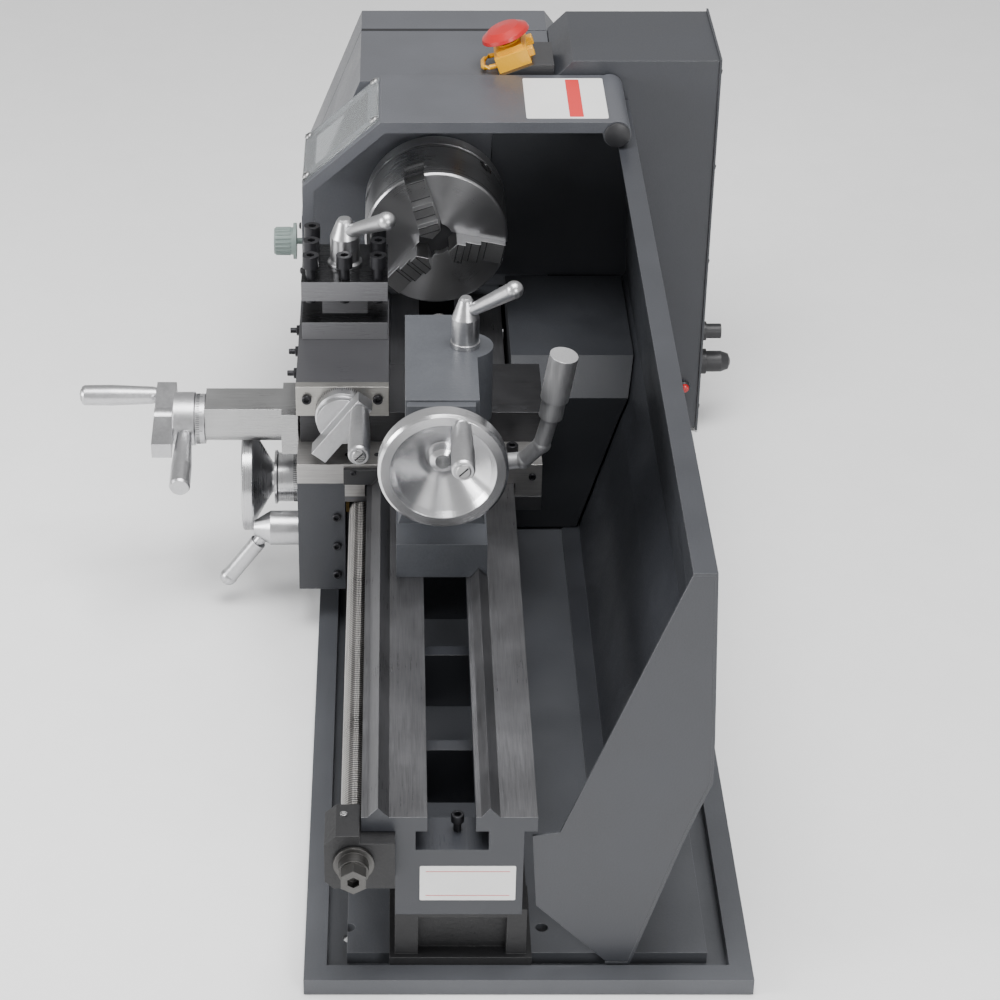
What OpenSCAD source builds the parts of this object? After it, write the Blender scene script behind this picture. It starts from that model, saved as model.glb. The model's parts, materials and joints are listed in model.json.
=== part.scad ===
// Bench lathe for turning metal: bed on a chip tray, headstock with a three-jaw chuck, carriage with
// cross slide, swivelling top slide and four-way tool post, tailstock, and sheet-metal guards.
// Inside at_axis() every length is taken from the centre of the chuck's front face:
// +X runs to the tailstock, +Y to the back and +Z up. The part's own origin is on the bench.

/* [Machine] */
// Height of the spindle axis above the bench
axis_z = 250; // [248:1:252]
// Distance of the chuck face from the middle of the bench bolts
face_to_middle = 235; // [230:1:240]
// Gap left between faces that slide on each other
slide_gap = 0.1; // [0.05:0.05:0.15]
// Radial gap of shafts that turn in bores
run_gap = 0.05; // [0.03:0.01:0.08]
// Thickness of the sheet-metal covers
sheet = 2; // [1.5:0.5:2.5]

/* [Bed and tray] */
// Level of the bed's top under the spindle axis
bed_top = -105; // [-106:1:-104]
// End of the bed at the tailstock
bed_end = 677; // [670:1:677]
// Width of the tray's raised rim
rim_w = 16; // [14:1:18]
// Height of the tray's rim
rim_h = 13; // [12:1:14]

/* [Chuck and spindle] */
// Diameter of the chuck
chuck_d = 125; // [124:1:126]
// Diameter of the hole through the spindle
spindle_bore_d = 20; // [18:1:22]
// Diameter of the hole in the chuck's face
chuck_bore_d = 30; // [28:1:32]
// Angle of the first jaw above the horizontal
jaw_angle = 108.6; // [100:0.1:118]

/* [Carriage] */
// Side of the square tool post
post_w = 72; // [70:1:72]
// Angle at which the top slide's crank stands
top_crank_angle = 52; // [0:1:90]
// Tilt of the cross slide's crank
cross_crank_tilt = 10; // [0:1:20]

/* [Tailstock] */
// Diameter of the tailstock's quill
quill_d = 28; // [26:1:28]
// Diameter of the tailstock's handwheel
tail_wheel_d = 98; // [94:1:98]

/* [Hidden] */
$fn = 48;

paint = [0.27, 0.29, 0.32];
paint_light = [0.44, 0.46, 0.49];
iron = [0.36, 0.37, 0.39];
steel = [0.62, 0.63, 0.64];
bright = [0.78, 0.79, 0.8];
black = [0.08, 0.08, 0.09];
eps = 1;

// Tray
tray_bottom = -axis_z;
tray_low = [-275, -100];
tray_high = [692, 215];
groove_w = 14;
deck_top = tray_bottom + 12;
bench_bolts_x = [-165, 635];
bench_bolts_y = 69;
bench_bolt_d = 9;

// Bed
bed_start = -200;
flange_low = bed_top - 12;
web_low = -190;
front_vee = [-55, -47.5, -40];
rear_vee = [22.5, 28.5, 35.5];
vee_h = 8;
slot = [-14, 19];
bed_front = -59;
bed_back = 61;
front_web = [-36, -22];
rear_web = [28, 52];
end_floor = -133;

// Leadscrew, its rack and its gears
screw_y = -64;
screw_z = -133;
screw_r = 9.5;
journal_r = 7;
gear_m = 1.5;
gear_w = 10;
train_x = -250;
train_x2 = -262;
spindle_teeth = 30;
idler_teeth = 40;
large_teeth = 40;
small_teeth = 20;
screw_teeth = 40;
stud_r = 5;
rack_y = -50;
rack_w = 12;
rack_pitch_z = -124;
pinion_teeth = 32;
wheel_teeth = 14;
wheel_x = 155;
wheel_z = -149.5;
pinion_z = rack_pitch_z - gear_m * pinion_teeth / 2;
shaft_gap = gear_m * (pinion_teeth + wheel_teeth) / 2;
pinion_x = wheel_x - sqrt(shaft_gap * shaft_gap - pow(wheel_z - pinion_z, 2));

// Drive
motor_y = 110;
motor_z = -135;
motor_r = 35;
pulley_x = -237;
pulley_w = 16;
spindle_pulley_r = 36;
motor_pulley_r = 18;
belt_t = 4;

// Covers
cover_x = -97;
cover_end = -217;
gear_cover_end = -268;
cover_outline = [[-121, -94], [104, -94], [104, 107], [-67, 107], [-121, -25]];
gear_outline = [[-121, -205], [140, -205], [140, 60], [104, 107], [-67, 107], [-121, -25]];
box_outline = [[150, -236], [217, -236], [217, -246], [250, -246], [250, 126], [121, 126],
  [104.5, 109.5], [104.5, -88], [150, -88]];
switch_wedge = [[56, 107.1], [104.4, 107.1], [104.4, 122], [86, 122], [56, 110.5]];
motor_outline = [[65, -235], [125, -235], [157.5, -126], [172, -84], [65, -84]];
guard_path = [[112, -238], [129, -238], [162, -125], [178, -78], [177, -40], [171, 90], [155, 90]];
guard_end = [[61, -185], [112, -236.5], [129, -236.5], [162, -125], [178, -78], [177, -40], [171, 90],
  [155, 90], [76, -120], [57, -123]];
guard_x = [-95, 674];
hood_path = [[-116, 17], [-116, 54], [-48, 114], [150, 114]];
hood_x = [-94, 10];
hood_lip = 10;
hinge_y = 153;
hinge_z = 103;
hinge_r = 12;
hinge_pin_r = 7;
switch_tilt = atan2(11.5, 30);

// Chuck
chuck_r = chuck_d / 2;
backplate_x = -80;
body_x = -61;
cavity_x = -26.5;
cavity_r = [20, 52];
jaw_w = 18;
slot_depth = 24;
jaw_steps = [[11, 24, 22], [24, 38, 15], [38, 60, 7]];
pinion_angle = 45;
chuck_pinion_x = -52.6;
chuck_pinion_r = 7.45;

// Carriage
saddle_x = [122, 240];
saddle_top = -87;
saddle_low = bed_top + slide_gap;
apron_x = 88;
apron_y = [-116, -77];
apron_low = -208;
cross_x = [120, 203];
cross_y = [-114, 86];
cross_top = -59;
cross_axis = [168, -85];
cross_screw_r = 6;
dovetail = [134, 194];
dovetail_top = -75;
dovetail_in = 4;
pivot = [166, -79];
disc_r = 35;
disc_low = -63;
top_y = [-117, -41];
top_x = [54, 201];
top_z = -32;
top_axis_z = -54;
top_screw_r = 4;
post = [91, -78];
post_z = [-32 + slide_gap, 21.6];
post_slot = [-16, 4];
post_slot_depth = 17;
post_screw = 28;
post_stud_r = 8;
lever_x = 196;
lever_z = -175;
nut_x = [178, 214];
nut_open = 3;
crank_grip_x = -31;
grip_pin_r = 3;

// Tailstock
tail_x = [211, 350];
tail_top = 35;
tail_base_x = [250, 380];
tail_base_top = -75;
lock = [262, 19];
cam = [273, -65];
clamp = [315, 2.5];
tail_screw_r = 5;
tail_grip_at = [13.3, 38.8];

function unit(v) = v / norm(v);
function left_normal(a, b) = let (d = unit(b - a)) [-d[1], d[0]];
function corner(a, b, c, t) = let (m = left_normal(a, b), n = left_normal(b, c))
  b + t * (m + n) / (1 + m * n);
// An outline listed anticlockwise, moved inwards by t
function inset(p, t) = [for (i = [0:len(p) - 1])
  corner(p[(i + len(p) - 1) % len(p)], p[i], p[(i + 1) % len(p)], t)];
// The line that runs t to the left of an open path
function beside(p, t) = [for (i = [0:len(p) - 1])
  i == 0 ? p[0] + t * left_normal(p[0], p[1])
  : i == len(p) - 1 ? p[i] + t * left_normal(p[i - 1], p[i])
  : corner(p[i - 1], p[i], p[i + 1], t)];
function reversed(p) = [for (i = [len(p) - 1:-1:0]) p[i]];
function strip(p, t) = concat(p, reversed(beside(p, t)));

// Involute teeth: half the angle of a tooth at radius r
function involute(a) = tan(a) * 180 / PI - a;
function tooth_half(n, r) = let (base = gear_m * n / 2 * cos(20), a = acos(min(1, base / max(r, base))))
  90 / n - 0.08 * 180 / PI / (gear_m * n / 2) + involute(20) - involute(a);
function gear_radii(n) = let (r = gear_m * n / 2) [r - 1.2 * gear_m, r - 0.5 * gear_m, r, r + 0.5 * gear_m,
  r + 0.95 * gear_m];
function gear_points(n, phase) = [for (i = [0:n - 1]) for (k = [0:9])
  let (r = gear_radii(n)[k < 5 ? k : 9 - k], a = tooth_half(n, r) * (k < 5 ? -1 : 1), t = phase + 360 * i / n + a)
  r * [cos(t), sin(t)]];
// Angle at which a gear of m teeth meshes with one of n teeth that lies towards direction dir of it
function mesh_phase(dir, phase, n, m) = dir + 180 + ((dir - phase) * n + 180) / m;

// Gear train from the spindle to the leadscrew, as [Y, Z] places
screw_at = [screw_y, screw_z];
link_a = gear_m * (spindle_teeth + idler_teeth) / 2;
link_b = gear_m * (idler_teeth + large_teeth) / 2;
link_c = gear_m * (small_teeth + screw_teeth) / 2;
dir_a = atan2(screw_z, screw_y);
idler_at = link_a * [cos(dir_a), sin(dir_a)];
rest_len = norm(screw_at) - link_a;
dir_b = dir_a + acos((link_b * link_b + rest_len * rest_len - link_c * link_c) / (2 * link_b * rest_len));
compound_at = idler_at + link_b * [cos(dir_b), sin(dir_b)];
dir_c = atan2(screw_at[1] - compound_at[1], screw_at[0] - compound_at[0]);
idler_phase = mesh_phase(dir_a, 0, spindle_teeth, idler_teeth);
large_phase = mesh_phase(dir_b, idler_phase, idler_teeth, large_teeth);
screw_phase = mesh_phase(dir_c, 0, small_teeth, screw_teeth);
wheel_dir = atan2(wheel_z - pinion_z, wheel_x - pinion_x);
wheel_phase = mesh_phase(wheel_dir, 0, pinion_teeth, wheel_teeth);

module at_axis() translate([-face_to_middle, 0, axis_z]) children();
module block(low, high) translate(low) cube(high - low);
module along_x(x, len) translate([x, 0, 0]) rotate([90, 0, 90]) linear_extrude(len) children();
module along_y(y, len) translate([0, y + len, 0]) rotate([90, 0, 0]) linear_extrude(len) children();
module bar_x(x, len, r, y = 0, z = 0) translate([x, y, z]) rotate([0, 90, 0]) cylinder(h = len, r = r);
module bar_y(y, len, r, x = 0, z = 0) translate([x, y, z]) rotate([-90, 0, 0]) cylinder(h = len, r = r);
module bar_z(z, len, r, x = 0, y = 0) translate([x, y, z]) cylinder(h = len, r = r);
module turned_x(points, y = 0, z = 0) translate([0, y, z]) rotate([0, 90, 0]) rotate_extrude() polygon(points);
module turned_y(points, x = 0, z = 0) translate([x, 0, z]) rotate([-90, 0, 0]) rotate_extrude() polygon(points);
module turned_z(points, x = 0, y = 0) translate([x, y, 0]) rotate_extrude() polygon(points);
module spin_x(a) rotate([a, 0, 0]) children();
module rod_between(a, b, r) {
  d = b - a;
  translate(a)
    rotate([0, acos(d[2] / norm(d)), atan2(d[1], d[0])])
      cylinder(h = norm(d), r = r);
}
module taper_between(a, b, r1, r2) {
  d = b - a;
  translate(a)
    rotate([0, acos(d[2] / norm(d)), atan2(d[1], d[0])])
      cylinder(h = norm(d), r1 = r1, r2 = r2);
}
module gear_x(at, n, phase, x, bore_r) {
  along_x(x, gear_w) difference() {
    translate(at) polygon(gear_points(n, phase));
    translate(at) circle(r = bore_r);
  }
}
module gear_y(at, n, phase, y, w) along_y(y, w) translate(at) polygon(gear_points(n, phase));
// Handle sleeve along +X from its root, with a hole for its pin
module grip_x(x, len, y, z) {
  turned_x([[grip_pin_r + run_gap, x], [6.6, x], [7.4, x + 4], [8.8, x + len * 0.6], [8.6, x + len - 2],
    [7.6, x + len], [grip_pin_r + run_gap, x + len]], y, z);
}
module bed_vees(grow) {
  for (v = [front_vee, rear_vee])
    polygon([[v[0] - grow, bed_top - eps], [v[0] - grow, bed_top + grow / 2], [v[1], bed_top + vee_h + grow],
      [v[2] + grow, bed_top + grow / 2], [v[2] + grow, bed_top - eps]]);
}

// ---- Bed, tray and frame ----
module tray_box(inside, low, high)
  block([tray_low[0] + inside, tray_low[1] + inside, low], [tray_high[0] - inside, tray_high[1] - inside, high]);

module chip_tray() color(paint) at_axis() {
  deck = rim_w + groove_w;
  difference() {
    tray_box(0, tray_bottom, tray_bottom + rim_h);
    difference() {
      tray_box(rim_w, tray_bottom + sheet, 0);
      tray_box(deck, tray_bottom, eps);
    }
    tray_box(deck, deck_top, 0);
    difference() {
      tray_box(sheet, tray_bottom - eps, tray_bottom + rim_h - sheet);
      tray_box(rim_w - sheet, tray_bottom - 2 * eps, 0);
    }
    difference() {
      tray_box(deck + sheet, tray_bottom - eps, deck_top - sheet);
      for (x = bench_bolts_x, y = [-bench_bolts_y, bench_bolts_y])
        bar_z(tray_bottom - 2 * eps, 30, 11, x, y);
      for (x = [-150, 200, 620])
        block([x, -40, tray_bottom - 2 * eps], [x + 30, 62, deck_top]);
    }
    for (x = bench_bolts_x, y = [-bench_bolts_y, bench_bolts_y])
      bar_z(tray_bottom - eps, 30, bench_bolt_d / 2, x, y);
  }
}

module bed() color(iron) at_axis() {
  along_x(bed_start, bed_end - bed_start) {
    bed_vees(0);
    polygon([[bed_front, flange_low], [slot[0], flange_low], [slot[0], bed_top], [bed_front, bed_top]]);
    polygon([[slot[1], flange_low], [bed_back, flange_low], [bed_back, bed_top], [slot[1], bed_top]]);
    for (w = [front_web, rear_web])
      translate([w[0], web_low]) square([w[1] - w[0], flange_low - web_low + eps]);
  }
  for (x = [60:120:540])
    block([x, front_web[1] - eps, web_low], [x + 12, rear_web[0] + eps, -142]);
  for (x = [bed_start, bed_end - 36])
    block([x, front_web[1] - eps, web_low], [x + 36, rear_web[0] + eps, end_floor]);
}

module foot(x, face) difference() {
  union() {
    block([x, -36, deck_top], [x + 68, 56, web_low]);
    block([x - 6, -40, deck_top], [x + 72, 60, deck_top + 8]);
  }
  block([face - 8, -20, deck_top + 8], [face + 8, 42, web_low - 7]);
}

module bed_feet() color(paint) at_axis() {
  foot(-190, -190);
  foot(604, 672);
}

module rack() color(steel) at_axis() {
  pitch = PI * gear_m;
  first = -16;
  last = 109;
  run = [for (i = [first:last]) for (k = [0:3])
    let (x = pinion_x + i * pitch, half = [pitch / 4 + 0.4, pitch / 4 - 0.6, -pitch / 4 + 0.6, -pitch / 4 - 0.4][k])
    [x - half, rack_pitch_z + (k == 0 || k == 3 ? 1.2 : -0.95) * gear_m]];
  along_y(rack_y, rack_w)
    polygon(concat([[pinion_x + (first - 1) * pitch, flange_low]], [[pinion_x + (first - 1) * pitch,
      rack_pitch_z + 1.2 * gear_m]], run, [[pinion_x + (last + 1) * pitch, rack_pitch_z + 1.2 * gear_m]],
      [[pinion_x + (last + 1) * pitch, flange_low]]));
}

module leadscrew_brackets() color(black) at_axis() {
  for (x = [-95, 655])
    along_x(x, x < 0 ? 25 : 35) difference() {
      polygon([[-84, -150], [-78, -156], [front_web[0], -156], [front_web[0], flange_low - 0.5],
        [bed_front - 1, flange_low - 0.5], [bed_front - 1, -111], [-76, -111], [-84, -118]]);
      translate(screw_at) circle(r = journal_r + run_gap);
    }
}

// ---- Headstock and drive ----
module headstock() color(paint) at_axis() difference() {
  along_x(-200, 100) difference() {
    polygon([[-58, bed_top], [60, bed_top], [60, -62], [50, -50], [50, 42], [30, 62], [-30, 62], [-50, 42],
      [-50, -50], [-58, -62]]);
    bed_vees(0.3);
  }
  bar_x(-201, 102, 24);
  for (x = [-201, -116])
    bar_x(x, 17, 31);
  block([-178, -38, -98], [-122, 38, 40]);
}

module spindle_bearings() color(bright) at_axis()
  for (x = [-200, -116])
    turned_x([[17.5, x], [31, x], [31, x + 16], [17.5, x + 16]]);

module spindle() color(steel) at_axis() {
  bore = spindle_bore_d / 2;
  turned_x([[bore, -264], [15, -264], [15, -221], [17.5 - run_gap, -221], [17.5 - run_gap, cover_x - 2],
    [40, cover_x - 2], [40, backplate_x], [bore, backplate_x]]);
}

module spindle_drives() color(steel) at_axis() {
  r = spindle_pulley_r;
  turned_x([[15, pulley_x], [r + 3, pulley_x], [r + 3, pulley_x + 1.5], [r, pulley_x + 1.5],
    [r, pulley_x + pulley_w - 1.5], [r + 3, pulley_x + pulley_w - 1.5], [r + 3, pulley_x + pulley_w],
    [15, pulley_x + pulley_w]]);
  gear_x([0, 0], spindle_teeth, 0, train_x, 15);
}

module idler_gear() color(steel) at_axis()
  gear_x(idler_at, idler_teeth, idler_phase, train_x, stud_r + run_gap);

module compound_gear() color(steel) at_axis() {
  gear_x(compound_at, large_teeth, large_phase, train_x, stud_r + run_gap);
  gear_x(compound_at, small_teeth, 0, train_x2, stud_r + run_gap);
  turned_x([[stud_r + run_gap, train_x - 2], [9, train_x - 2], [9, train_x], [stud_r + run_gap, train_x]],
    compound_at[0], compound_at[1]);
}

module drive_belt() color(black) at_axis() {
  along_x(pulley_x + 2, pulley_w - 4) difference() {
    belt_loop(belt_t);
    belt_loop(0);
  }
}

module belt_loop(t) hull() {
  circle(r = spindle_pulley_r + 0.5 + t, $fn = 64);
  translate([motor_y, motor_z]) circle(r = motor_pulley_r + 0.4 + t, $fn = 32);
}

module motor_housing() color(black) at_axis() {
  turned_x([[10, -82], [motor_r - 5, -82], [motor_r, -74], [motor_r, 36], [motor_r - 5, 44], [10, 44]],
    motor_y, motor_z);
  difference() {
    block([-50, 84, -236], [14, 110, motor_z - 20]);
    bar_x(-60, 90, motor_r - 2, motor_y, motor_z);
  }
}

module motor_shaft() color(steel) at_axis() {
  r = motor_pulley_r;
  turned_x([[0, -240], [8, -240], [8, pulley_x], [r + 3, pulley_x], [r + 3, pulley_x + 1.5],
    [r, pulley_x + 1.5], [r, pulley_x + pulley_w - 1.5], [r + 3, pulley_x + pulley_w - 1.5],
    [r + 3, pulley_x + pulley_w], [8, pulley_x + pulley_w], [8, 40], [0, 40]], motor_y, motor_z);
}

module leadscrew() color(steel) at_axis() {
  difference() {
    turned_x([[0, -264], [6, -264], [6, -100], [journal_r, -100], [journal_r, -68], [screw_r, -68],
      [screw_r, 652], [journal_r, 652], [journal_r, 690.5], [14, 690.5], [14, 693], [10.5, 693],
      [10.5, 702], [0, 702]], screw_y, screw_z);
  }
  translate([702, screw_y, screw_z]) rotate([0, 90, 0]) difference() {
    cylinder(h = 10, r = 9.8, $fn = 6);
    translate([0, 0, 4]) cylinder(h = 10, r = 4.5, $fn = 6);
  }
  gear_x(screw_at, screw_teeth, screw_phase, train_x2, 6);
}

// ---- Covers and electrics ----
module headstock_cover() color(paint_light) at_axis() difference() {
  along_x(cover_end, cover_x - cover_end) polygon(cover_outline);
  along_x(cover_end - eps, cover_x - cover_end - sheet + eps) polygon(inset(cover_outline, sheet));
  block([cover_end - eps, -119, -95], [cover_x - sheet, 102, -90]);
  bar_x(cover_x - 5, 10, 52);
  bar_y(-125, 10, 3 + run_gap, -150, -75);
}

module gear_cover() color(paint_light) at_axis() difference() {
  along_x(gear_cover_end, cover_end - sheet - gear_cover_end - 0.2) polygon(gear_outline);
  along_x(gear_cover_end + sheet, 60) polygon(inset(gear_outline, sheet));
  bar_x(gear_cover_end - eps, 5, 17);
}

module end_plate() color(black) at_axis() {
  difference() {
    along_x(cover_end - sheet, sheet) polygon(inset(gear_outline, 3));
    bar_x(cover_end - 5, 10, 22);
    bar_x(cover_end - 5, 10, 12, motor_y, motor_z);
    bar_x(cover_end - 5, 10, 9, screw_y, screw_z);
  }
  bar_x(-252, -252 * -1 + cover_end - 1, stud_r, idler_at[0], idler_at[1]);
  bar_x(-263, 263 + cover_end - 1, stud_r, compound_at[0], compound_at[1]);
}

module electric_box() color(paint) at_axis() {
  difference() {
    along_x(cover_end, cover_x - cover_end) polygon(box_outline);
    along_x(cover_end + sheet, cover_x - cover_end - 2 * sheet) polygon(inset(box_outline, sheet));
    block([cover_end + sheet, 240, -240], [cover_x - sheet, 251, 124]);
  }
  block([cover_end - 2, 250.1, -248], [cover_x + 2, 252.1, 128]);
}

module box_fittings() color(black) at_axis() {
  turned_y([[0, 252.2], [9, 252.2], [9, 256], [7, 256], [7, 270], [0, 270]], -112, -150);
  turned_y([[3, 252.2], [12, 252.2], [12, 258], [10, 258], [10, 272], [7.5, 279], [3, 281]], -115, -184);
  turned_x([[0, cover_x], [5, cover_x], [5, cover_x + 3], [3.5, cover_x + 5], [0, cover_x + 5.5]], 237, -200);
}

module motor_cover() color(paint) at_axis() {
  side = [[-95, -240], [99, -240], [99, -104], [50, -80], [-95, -80]];
  difference() {
    intersection() {
      along_x(-95, 194) polygon(motor_outline);
      along_y(60, 120) polygon(side);
    }
    intersection() {
      along_x(-96, 193) polygon(inset(motor_outline, sheet));
      along_y(60, 120) polygon(inset([[-120, -240], [99, -240], [99, -104], [50, -80], [-120, -80]], sheet));
    }
    block([-96, 67, -240], [97, 123, -230]);
  }
}

module splash_guard() color(paint) at_axis() {
  along_x(guard_x[0] - eps, guard_x[1] - guard_x[0] + eps) polygon(strip(guard_path, sheet));
  along_x(guard_x[1] - sheet - 0.3, sheet) polygon(inset(guard_end, 0.8));
  along_x(-97, sheet) polygon([[51, -82], [175.4, -82], [177, -78], [176, -40], [170, 88], [51, 88]]);
  block([-96.8, 147, 80], [-95.2, 159, 106]);
  bar_x(-96.5, 100.5, hinge_pin_r, hinge_y, hinge_z);
}

module chuck_hood() color(paint_light) at_axis() {
  difference() {
    union() {
      along_x(hood_x[0], hood_x[1] - hood_x[0]) polygon(strip(hood_path, -sheet));
      along_x(hood_x[1] - sheet, sheet) polygon(strip(hood_path, -hood_lip));
      bar_x(hood_x[0], hood_x[1] - hood_x[0], hinge_r, hinge_y, hinge_z);
    }
    bar_x(hood_x[0] - eps, 100 + eps, hinge_pin_r + run_gap, hinge_y, hinge_z);
    hood_slope(-78, -12, 14, 76, -4, 6);
  }
}

// A box on the hood's sloping face: along X, up the slope, and out of the face
module hood_slope(x0, x1, s0, s1, n0, n1)
  translate([0, hood_path[1][0], hood_path[1][1]]) rotate([atan2(60, 68), 0, 0]) block([x0, s0, n0], [x1, s1, n1]);

module hood_window() color([0.8, 0.85, 0.9, 0.3]) at_axis()
  hood_slope(-90, 2, 2, 88, 0, sheet);

module switch_box() at_axis() {
  color(black) along_x(-152, 54) polygon(switch_wedge);
  color("gold") switch_frame() difference() {
    union() {
      block([-146, -15, -2], [-104, 15, 14]);
      block([-141, -12, 13], [-109, 12, 18]);
    }
    bar_z(10, 20, 6 + run_gap, -125, 0);
  }
}

module stop_button() color("red") at_axis() switch_frame()
  turned_z([[0, 15], [6, 15], [6, 23], [14, 23], [22, 25], [21, 28], [14, 32.5], [0, 34]], -125, 0);

module switch_frame() translate([0, 71, 116.3]) rotate([switch_tilt, 0, 0]) children();

module speed_knob() color([0.45, 0.5, 0.47]) at_axis()
  turned_y([[0, -149], [12, -149], [13, -131], [17, -131], [17, -128], [3, -128], [3, -114], [0, -114]], -150, -75);

// ---- Chuck ----
module chuck_backplate() color(steel) at_axis()
  turned_x([[chuck_bore_d / 2, backplate_x], [chuck_r - 1, backplate_x], [chuck_r, backplate_x + 1],
    [chuck_r, body_x - 2], [56, body_x - 2], [56, body_x], [chuck_bore_d / 2, body_x]]);

module jaw_slot(gap) {
  w = jaw_w / 2 + gap;
  block([-slot_depth - gap, 0, -w], [eps, chuck_r + eps, w]);
  block([-17 - gap, 0, -w - 2.5], [-10 + gap, chuck_r + eps, w + 2.5]);
}

module chuck_body() color(steel) at_axis() difference() {
  turned_x([[chuck_bore_d / 2, body_x], [cavity_r[0], body_x], [cavity_r[0], cavity_x], [cavity_r[1], cavity_x],
    [cavity_r[1], body_x], [chuck_r - 1.5, body_x], [chuck_r, body_x + 1.5], [chuck_r, -1.5],
    [chuck_r - 1.5, 0], [chuck_bore_d / 2, 0]]);
  for (i = [0:2])
    spin_x(jaw_angle + 120 * i) jaw_slot(slide_gap);
  spin_x(pinion_angle) bar_y(40, 30, chuck_pinion_r + run_gap, chuck_pinion_x, 0);
}

module jaw(i) color(steel) at_axis() spin_x(jaw_angle + 120 * i) {
  w = jaw_w / 2;
  translate([-slot_depth, 0, 0]) rotate([90, 0, 90]) linear_extrude(slot_depth)
    polygon([[11, 0], [11 + w * tan(30), -w], [60, -w], [60, w], [11 + w * tan(30), w]]);
  block([-17, 18, -w - 2.4], [-10, 60, w + 2.4]);
  for (s = jaw_steps)
    translate([-eps, 0, 0]) rotate([90, 0, 90]) linear_extrude(s[2] + eps)
      polygon([[s[0], s[0] < 12 ? 0 : -w], [s[0] + w * tan(30), -w], [s[1], -w], [s[1], w],
        [s[0] + w * tan(30), w], [s[0], s[0] < 12 ? 0 : w]]);
}
module chuck_jaw_1() jaw(0);
module chuck_jaw_2() jaw(1);
module chuck_jaw_3() jaw(2);

module chuck_scroll() color(steel) at_axis()
  turned_x([[cavity_r[0] + run_gap, -44], [cavity_r[1] - 0.5, -44], [cavity_r[1] - 0.5, -27],
    [cavity_r[0] + run_gap, -27]]);

module chuck_pinion() color(steel) at_axis() spin_x(pinion_angle) difference() {
  bar_y(24, 37, chuck_pinion_r, chuck_pinion_x, 0);
  translate([chuck_pinion_x, 52, 0]) rotate([-90, 45, 0]) cylinder(h = 12, r = 5.5, $fn = 4);
}

// ---- Carriage ----
module saddle() color(bright) at_axis() difference() {
  union() {
    block([saddle_x[0], -116, saddle_low], [saddle_x[1], -38, saddle_top]);
    block([saddle_x[0], 40, saddle_low], [saddle_x[1], 84, saddle_top]);
    block([saddle_x[0] + 2, -40, saddle_low], [198, 42, saddle_top]);
    block([saddle_x[0], -77, flange_low - 0.2], [saddle_x[1], -60.5, saddle_low + eps]);
    block([saddle_x[0], 62, flange_low - 0.2], [saddle_x[1], 84, saddle_low + eps]);
    along_y(-110, 190) polygon([[dovetail[0] + dovetail_in, saddle_top - eps], [dovetail[1] - dovetail_in,
      saddle_top - eps], [dovetail[1], dovetail_top], [dovetail[0], dovetail_top]]);
  }
  along_x(saddle_x[0] - eps, 130) bed_vees(0.3);
  block([cross_axis[0] - 8, -120, -96], [cross_axis[0] + 8, 70, -70]);
}

module apron() color(paint) at_axis() difference() {
  block([apron_x, apron_y[0], apron_low], [saddle_x[1], apron_y[1], saddle_low]);
  block([apron_x + 4, -108, apron_low + 4], [saddle_x[1] - 6, apron_y[1] + eps, saddle_low - 6]);
  bar_y(-120, 20, journal_r + run_gap, wheel_x, wheel_z);
  bar_y(-120, 20, journal_r + run_gap, lever_x, lever_z);
  bar_y(-120, 20, stud_r + run_gap, pinion_x, pinion_z);
}

module keepers() color(iron) at_axis() {
  for (x = [[saddle_x[0], 172], [220, saddle_x[1]]])
    block([x[0], -77, flange_low - 5.4], [x[1], -52, flange_low - 0.2]);
  block([saddle_x[0], 53, flange_low - 13], [saddle_x[1], 84, flange_low - 0.2]);
}

module apron_handwheel() color(bright) at_axis() {
  turned_y([[0, -158], [14, -158], [36, -163.5], [38, -165], [44.5, -165], [45.5, -164], [45.5, -156],
    [44.5, -155], [38, -155], [16, -142], [13, -140], [13, -138], [23, -138], [23, -136], [21, -135], [21, -116.2],
    [journal_r, -116.2], [journal_r, -96], [0, -96]], wheel_x, wheel_z);
  gear_y([wheel_x, wheel_z], wheel_teeth, wheel_phase, -106, 9.5);
}

module rack_pinion() color(steel) at_axis() {
  gear_y([pinion_x, pinion_z], pinion_teeth, 0, -106, gear_w);
  bar_y(-115.8, 78, stud_r, pinion_x, pinion_z);
  gear_y([pinion_x, pinion_z], pinion_teeth, 90 + 180 / pinion_teeth, rack_y + 0.5, rack_w - 1);
}

module half_nut(side) {
  wall = 2.5;
  z = screw_z + side * nut_open;
  low = side > 0 ? z + 0.2 : z - screw_r - 0.3 - wall;
  high = side > 0 ? z + screw_r + 0.3 + wall : z - 0.2;
  difference() {
    block([nut_x[0], -76.8, low], [nut_x[1], -53, high]);
    bar_x(nut_x[0] - eps, 40, screw_r + 0.3, screw_y, z);
  }
}
module half_nut_upper() color("darkgoldenrod") at_axis() half_nut(1);
module half_nut_lower() color("darkgoldenrod") at_axis() half_nut(-1);

module half_nut_lever() color(bright) at_axis() {
  turned_y([[0, -155], [6, -155], [14.5, -141], [14.5, -116.2], [journal_r, -116.2], [journal_r, -90],
    [15, -90], [15, -80], [0, -80]], lever_x, lever_z);
  rod_between([lever_x, -144, lever_z - 4], [lever_x, -154, lever_z - 16], 5);
  rod_between([lever_x, -152, lever_z - 14], [lever_x, -178, lever_z - 49], 7);
  translate([lever_x, -178, lever_z - 49]) sphere(r = 7.6);
}

module cross_bracket() color(steel) at_axis() difference() {
  union() {
    bar_y(-194, 70, 18, cross_axis[0], cross_axis[1]);
    block([cross_axis[0] - 18, -194, cross_axis[1]], [cross_axis[0] + 18, -124, cross_axis[1] + 19]);
    block([cross_axis[0] - 28, -130, -103], [cross_axis[0] + 28, -116, cross_axis[1] + 19]);
  }
  bar_y(-200, 90, cross_screw_r + run_gap, cross_axis[0], cross_axis[1]);
}

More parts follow.
